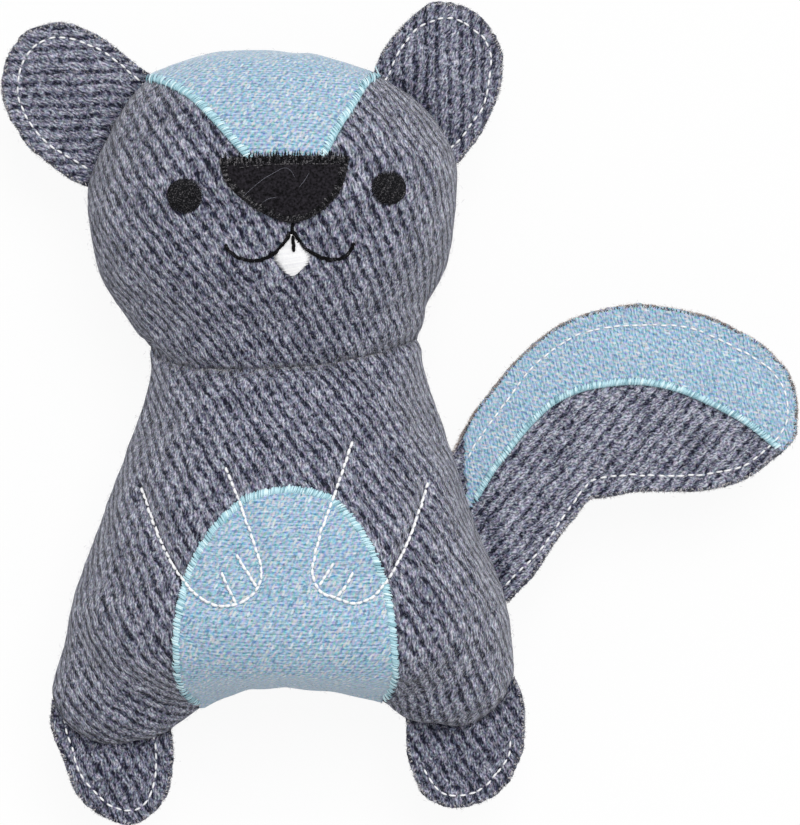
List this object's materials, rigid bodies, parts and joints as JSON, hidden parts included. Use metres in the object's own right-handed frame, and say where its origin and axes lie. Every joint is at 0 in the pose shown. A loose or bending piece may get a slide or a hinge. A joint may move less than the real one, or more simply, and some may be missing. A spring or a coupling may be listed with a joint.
{
  "type": "squeaky dog toy",
  "caption": "Flat-lying stuffed cloth dog toy shaped like a small bushy-tailed animal, with flap ears, feet and tail and a squeaker inside the belly.",
  "frame": {"origin": "middle of the flat of the toy's back, on the surface that it lies on", "axes": "+Z out of the belly, +Y from the feet to the head, +X to the side that the tail is on"},
  "size_m": [0.2387, 0.2465, 0.0764],
  "materials": {
    "grey_wool": "coarse woollen twill in light, mid and dark blue-grey",
    "blue_tweed": "light blue woollen tweed with cream flecks",
    "black_felt": "matte felt with a stitched edge",
    "white_felt": "white satin-stitched thread",
    "fibre_filling": "loose white polyester fibre",
    "squeaker_plastic": "soft translucent moulded plastic",
    "reed_plastic": "thin glossy film"
  },
  "bodies": {
    "torso": {"body_front": "grey_wool", "body_back": "grey_wool", "body_filling_front": "fibre_filling", "body_filling_back": "fibre_filling", "left_leg": "grey_wool", "right_leg": "grey_wool", "belly_patch": "blue_tweed", "squeaker_bulb": "squeaker_plastic", "squeaker_plug": "squeaker_plastic", "squeaker_reed": "reed_plastic", "head_front": "grey_wool", "head_back": "grey_wool", "head_filling": "fibre_filling", "left_eye": "black_felt", "right_eye": "black_felt", "nose": "black_felt", "tooth": "white_felt", "forehead_patch": "blue_tweed"},
    "squeaker_crown": {"squeaker_crown": "squeaker_plastic"},
    "left_ear": {"left_ear_front": "grey_wool", "left_ear_back": "grey_wool"},
    "right_ear": {"right_ear_front": "grey_wool", "right_ear_back": "grey_wool"},
    "left_foot": {"left_foot_front": "grey_wool", "left_foot_back": "grey_wool"},
    "right_foot": {"right_foot_front": "grey_wool", "right_foot_back": "grey_wool"},
    "tail": {"tail_front": "grey_wool", "tail_back": "grey_wool", "tail_band": "blue_tweed"}
  },
  "joints": [
    {"name": "squeaker_press", "type": "slide", "parent": "torso", "child": "squeaker_crown", "axis": [0, 0, -1], "range_m": [0, 0.008], "stiffness_N_per_m": 800, "deforming": ["squeaker_bulb"]},
    {"name": "left_ear_bend", "type": "hinge", "parent": "torso", "child": "left_ear", "pos_m": [-0.05531, 0.14236, 0.03], "axis": [0.4531, 0.8915, 0], "range_deg": [-40, 60], "stiffness_Nm_per_rad": 0.02},
    {"name": "right_ear_bend", "type": "hinge", "parent": "torso", "child": "right_ear", "pos_m": [0.04101, 0.14605, 0.03], "axis": [0.6633, -0.7483, 0], "range_deg": [-40, 60], "stiffness_Nm_per_rad": 0.02},
    {"name": "left_foot_bend", "type": "hinge", "parent": "torso", "child": "left_foot", "pos_m": [-0.05507, -0.04189, 0.03], "axis": [-0.9703, 0.2419, 0], "range_deg": [-40, 60], "stiffness_Nm_per_rad": 0.02},
    {"name": "right_foot_bend", "type": "hinge", "parent": "torso", "child": "right_foot", "pos_m": [0.05387, -0.04189, 0.03], "axis": [-0.9703, -0.2419, 0], "range_deg": [-40, 60], "stiffness_Nm_per_rad": 0.02},
    {"name": "tail_bend", "type": "hinge", "parent": "torso", "child": "tail", "pos_m": [0.05925, 0.02323, 0.03], "axis": [0.3548, -0.935, 0], "range_deg": [-15, 60], "stiffness_Nm_per_rad": 0.15}
  ]
}
